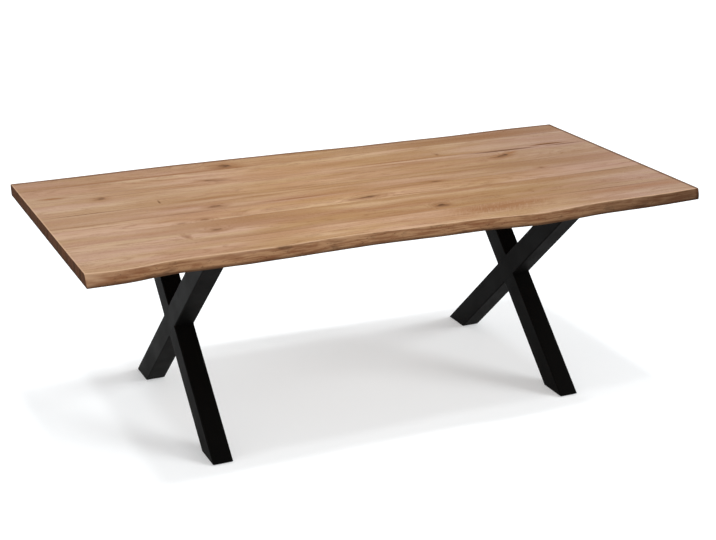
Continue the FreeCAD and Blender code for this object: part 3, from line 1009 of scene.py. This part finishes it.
def make_stem(name, low, high):
    # A rod whose surface is moved in and out along a helix.
    base = base_of(low, high)
    outer = (high.x - low.x) / 2
    stem = start_rod(name, 24, outer, base, high.z - low.z)
    for cut_round in range(cut_rounds):
        pick_edges(stem, lambda one, two: abs(one.z - two.z) > touching)
        bpy.ops.mesh.subdivide(number_cuts=thread_cuts)
    leave_edit()
    for vertex in stem.data.vertices:
        angle = math.atan2(vertex.co.y - base.y, vertex.co.x - base.x)
        turn = (vertex.co.z - low.z) / thread_pitch - angle / (2 * math.pi)
        crest = abs(2 * (turn - math.floor(turn)) - 1)
        from_end = min(vertex.co.z - low.z, high.z - vertex.co.z)
        radius = outer - thread_depth + min(thread_depth * crest, from_end)
        vertex.co.x = base.x + radius * math.cos(angle)
        vertex.co.y = base.y + radius * math.sin(angle)
    return stem


def make_pad(name, low, high):
    pad = start_rod(name, 64, (high.x - low.x) / 2, base_of(low, high), high.z - low.z)
    pick_edges(pad, lambda one, two: min(one.z, two.z) > high.z - touching)
    bpy.ops.mesh.bevel(offset=pad_upper_round, segments=4, affect="EDGES", clamp_overlap=False)
    pick_edges(pad, lambda one, two: max(one.z, two.z) < low.z + touching)
    bpy.ops.mesh.bevel(offset=pad_lower_round, segments=3, affect="EDGES", clamp_overlap=False)
    for end_z, way in ((low.z, 1), (high.z, -1)):
        pick_faces(pad, lambda middle, normal: (
            abs(middle.z - end_z) < touching and abs(normal.z) > squarely))
        bpy.ops.mesh.inset(thickness=pad_rim, depth=0.0)
        bpy.ops.mesh.extrude_region_move(TRANSFORM_OT_translate={"value": (0, 0, way * pad_hollow)})
    leave_edit()
    return pad


moulded_plastic = plastic_finish()
for side in frame_sides:
    for end in ("front", "back"):
        glide = f"{end}_{side}_glide"
        stem = repeat_piece(make_stem, f"{glide}_threaded_stem", *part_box(f"{glide}_stem"))
        pad = repeat_piece(make_pad, f"{glide}_moulded_pad", *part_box(f"{glide}_pad"))
        finish_piece(stem, zinc_plate, glide, "zinc_plated_steel", f"{glide}_stem")
        finish_piece(pad, moulded_plastic, glide, "black_plastic", f"{glide}_pad")
        dress_node(f"{side}_frame_{end}_foot_cap", powder_coat)
    dress_node(f"{side}_frame_weld_nuts", zinc_plate)


# The floor and the light of a photographer's white room. The table is lit from
# overhead; lights for the floor alone move the shadow of the top apart, and
# window light from the right draws the streaks of the legs.
floor_size = 80.0
room_light = 0.55
floor_glow = 0.30
floor_glow_strength = 1.25
floor_white = (0.935, 0.973, 1.0, 1)
floor_bounce = (0.5, 0.5, 0.5, 1)
overhead_strength = 1.60
overhead_slant = -0.08
overhead_spread = 6
floor_light_spread = 5
shade_height = 0.73

# Each floor light is how far it moves the shadow of the top along and across
# the floor, and the share of white that it gives.
floor_lights = (
    (0.38, 0.12, 0.12),
    (0.22, 0.0, 0.17),
    (-0.05, 0.02, 0.19),
    (-0.40, -0.10, 0.11))

window_rises = (0.44, 0.58)
window_share = 0.148
window_side = -0.55
window_spread = 28
lamp_height = 5
bpy.ops.object.select_all(action="DESELECT")
bpy.ops.mesh.primitive_plane_add(size=floor_size, location=(0, 0, 0))
floor = bpy.context.object
floor.name = "pale_floor"


def seen_directly(tree):
    rays = add_node(tree, "ShaderNodeLightPath").outputs
    seen = calculate(tree, "MAXIMUM", rays["Is Camera Ray"], rays["Is Glossy Ray"])
    return calculate(tree, "MAXIMUM", seen, rays["Is Transmission Ray"])


floor_paint = bpy.data.materials.new("pale_floor")
floor_paint.use_nodes = True
tree = floor_paint.node_tree
tree.nodes.clear()
seen = seen_directly(tree)
floor_colour = lay_over(tree, seen, floor_bounce, floor_white)
matt = add_node(tree, "ShaderNodeBsdfDiffuse", {"Color": floor_colour})
glow = add_node(tree, "ShaderNodeEmission", {"Color": (1, 1, 1, 1), "Strength": floor_glow_strength})
share = calculate(tree, "MULTIPLY", seen, floor_glow)
mixed = add_node(tree, "ShaderNodeMixShader", {0: share, 1: matt.outputs[0], 2: glow.outputs[0]})
add_node(tree, "ShaderNodeOutputMaterial", {0: mixed.outputs[0]})
floor.data.materials.append(floor_paint)

world = bpy.data.worlds.new("white_room")
world.use_nodes = True
bpy.context.scene.world = world
tree = world.node_tree
tree.nodes.clear()
level = calculate(tree, "MULTIPLY_ADD", seen_directly(tree), 1.0 - room_light, room_light)
room = add_node(tree, "ShaderNodeBackground", {"Color": (1, 1, 1, 1), "Strength": level})
add_node(tree, "ShaderNodeOutputWorld", {0: room.outputs[0]})


def studio_sun(name, from_direction, strength, spread):
    bpy.ops.object.select_all(action="DESELECT")
    bpy.ops.object.light_add(type="SUN", location=(0, 0, lamp_height))
    lamp = bpy.context.object
    lamp.name = name
    lamp.rotation_euler = Vector(from_direction).to_track_quat("Z", "Y").to_euler()
    lamp.data.energy = strength
    lamp.data.angle = math.radians(spread)
    return lamp


lit_floor = bpy.data.collections.new("lit_floor")
lit_floor.objects.link(floor)
lit_table = bpy.data.collections.new("lit_table")
lit_table.objects.link(floor)
lit_table.collection_objects[0].light_linking.link_state = "EXCLUDE"
leg_shadows = bpy.data.collections.new("window_light_shadows")
for piece in frame_pieces:
    leg_shadows.objects.link(piece)


def floor_sun(name, from_direction, share, spread):
    # A light for the floor alone, which gives it this share of white.
    strength = share * math.pi * math.hypot(*from_direction) / from_direction[2]
    lamp = studio_sun(name, from_direction, strength, spread)
    lamp.light_linking.receiver_collection = lit_floor
    return lamp


overhead = (overhead_slant, 0, 1)
table_light = studio_sun("overhead_light", overhead, overhead_strength, overhead_spread)
table_light.light_linking.receiver_collection = lit_table
for number, (along, across, share) in enumerate(floor_lights, 1):
    from_direction = (-along, -across, shade_height)
    floor_sun(f"floor_light_{number}", from_direction, share, floor_light_spread)
for number, rise in enumerate(window_rises, 1):
    window = floor_sun(f"window_light_{number}", (1, window_side, rise), window_share, window_spread)
    window.light_linking.blocker_collection = leg_shadows


# The camera stands in front of the left end of the table and looks down on
# it, as in the photograph. Its lens is worked out from a picture that is
# 716 pixels wide.
picture_width = 716
lens_pixels = 1469.1
sensor_width = 36.0
camera_place = Vector((-2.057, -4.5058, 2.221))
camera_turn, camera_height, camera_roll = (math.radians(v) for v in (-24.69, 19.81, 0.38))
bpy.ops.object.camera_add(location=camera_place)
camera = bpy.context.object
camera.name = "camera"
back = Vector((
    math.sin(camera_turn) * math.cos(camera_height),
    -math.cos(camera_turn) * math.cos(camera_height),
    math.sin(camera_height)))
right = Vector((0, 0, 1)).cross(back).normalized()
up = back.cross(right)
tilted_right = math.cos(camera_roll) * right + math.sin(camera_roll) * up
tilted_up = back.cross(tilted_right)
camera.rotation_euler = Matrix((tilted_right, tilted_up, back)).transposed().to_euler()
camera.data.sensor_width = sensor_width
camera.data.lens = lens_pixels / picture_width * sensor_width
camera.data.clip_end = 2 * floor_size
bpy.context.scene.camera = camera
bpy.context.scene.view_settings.view_transform = "Standard"
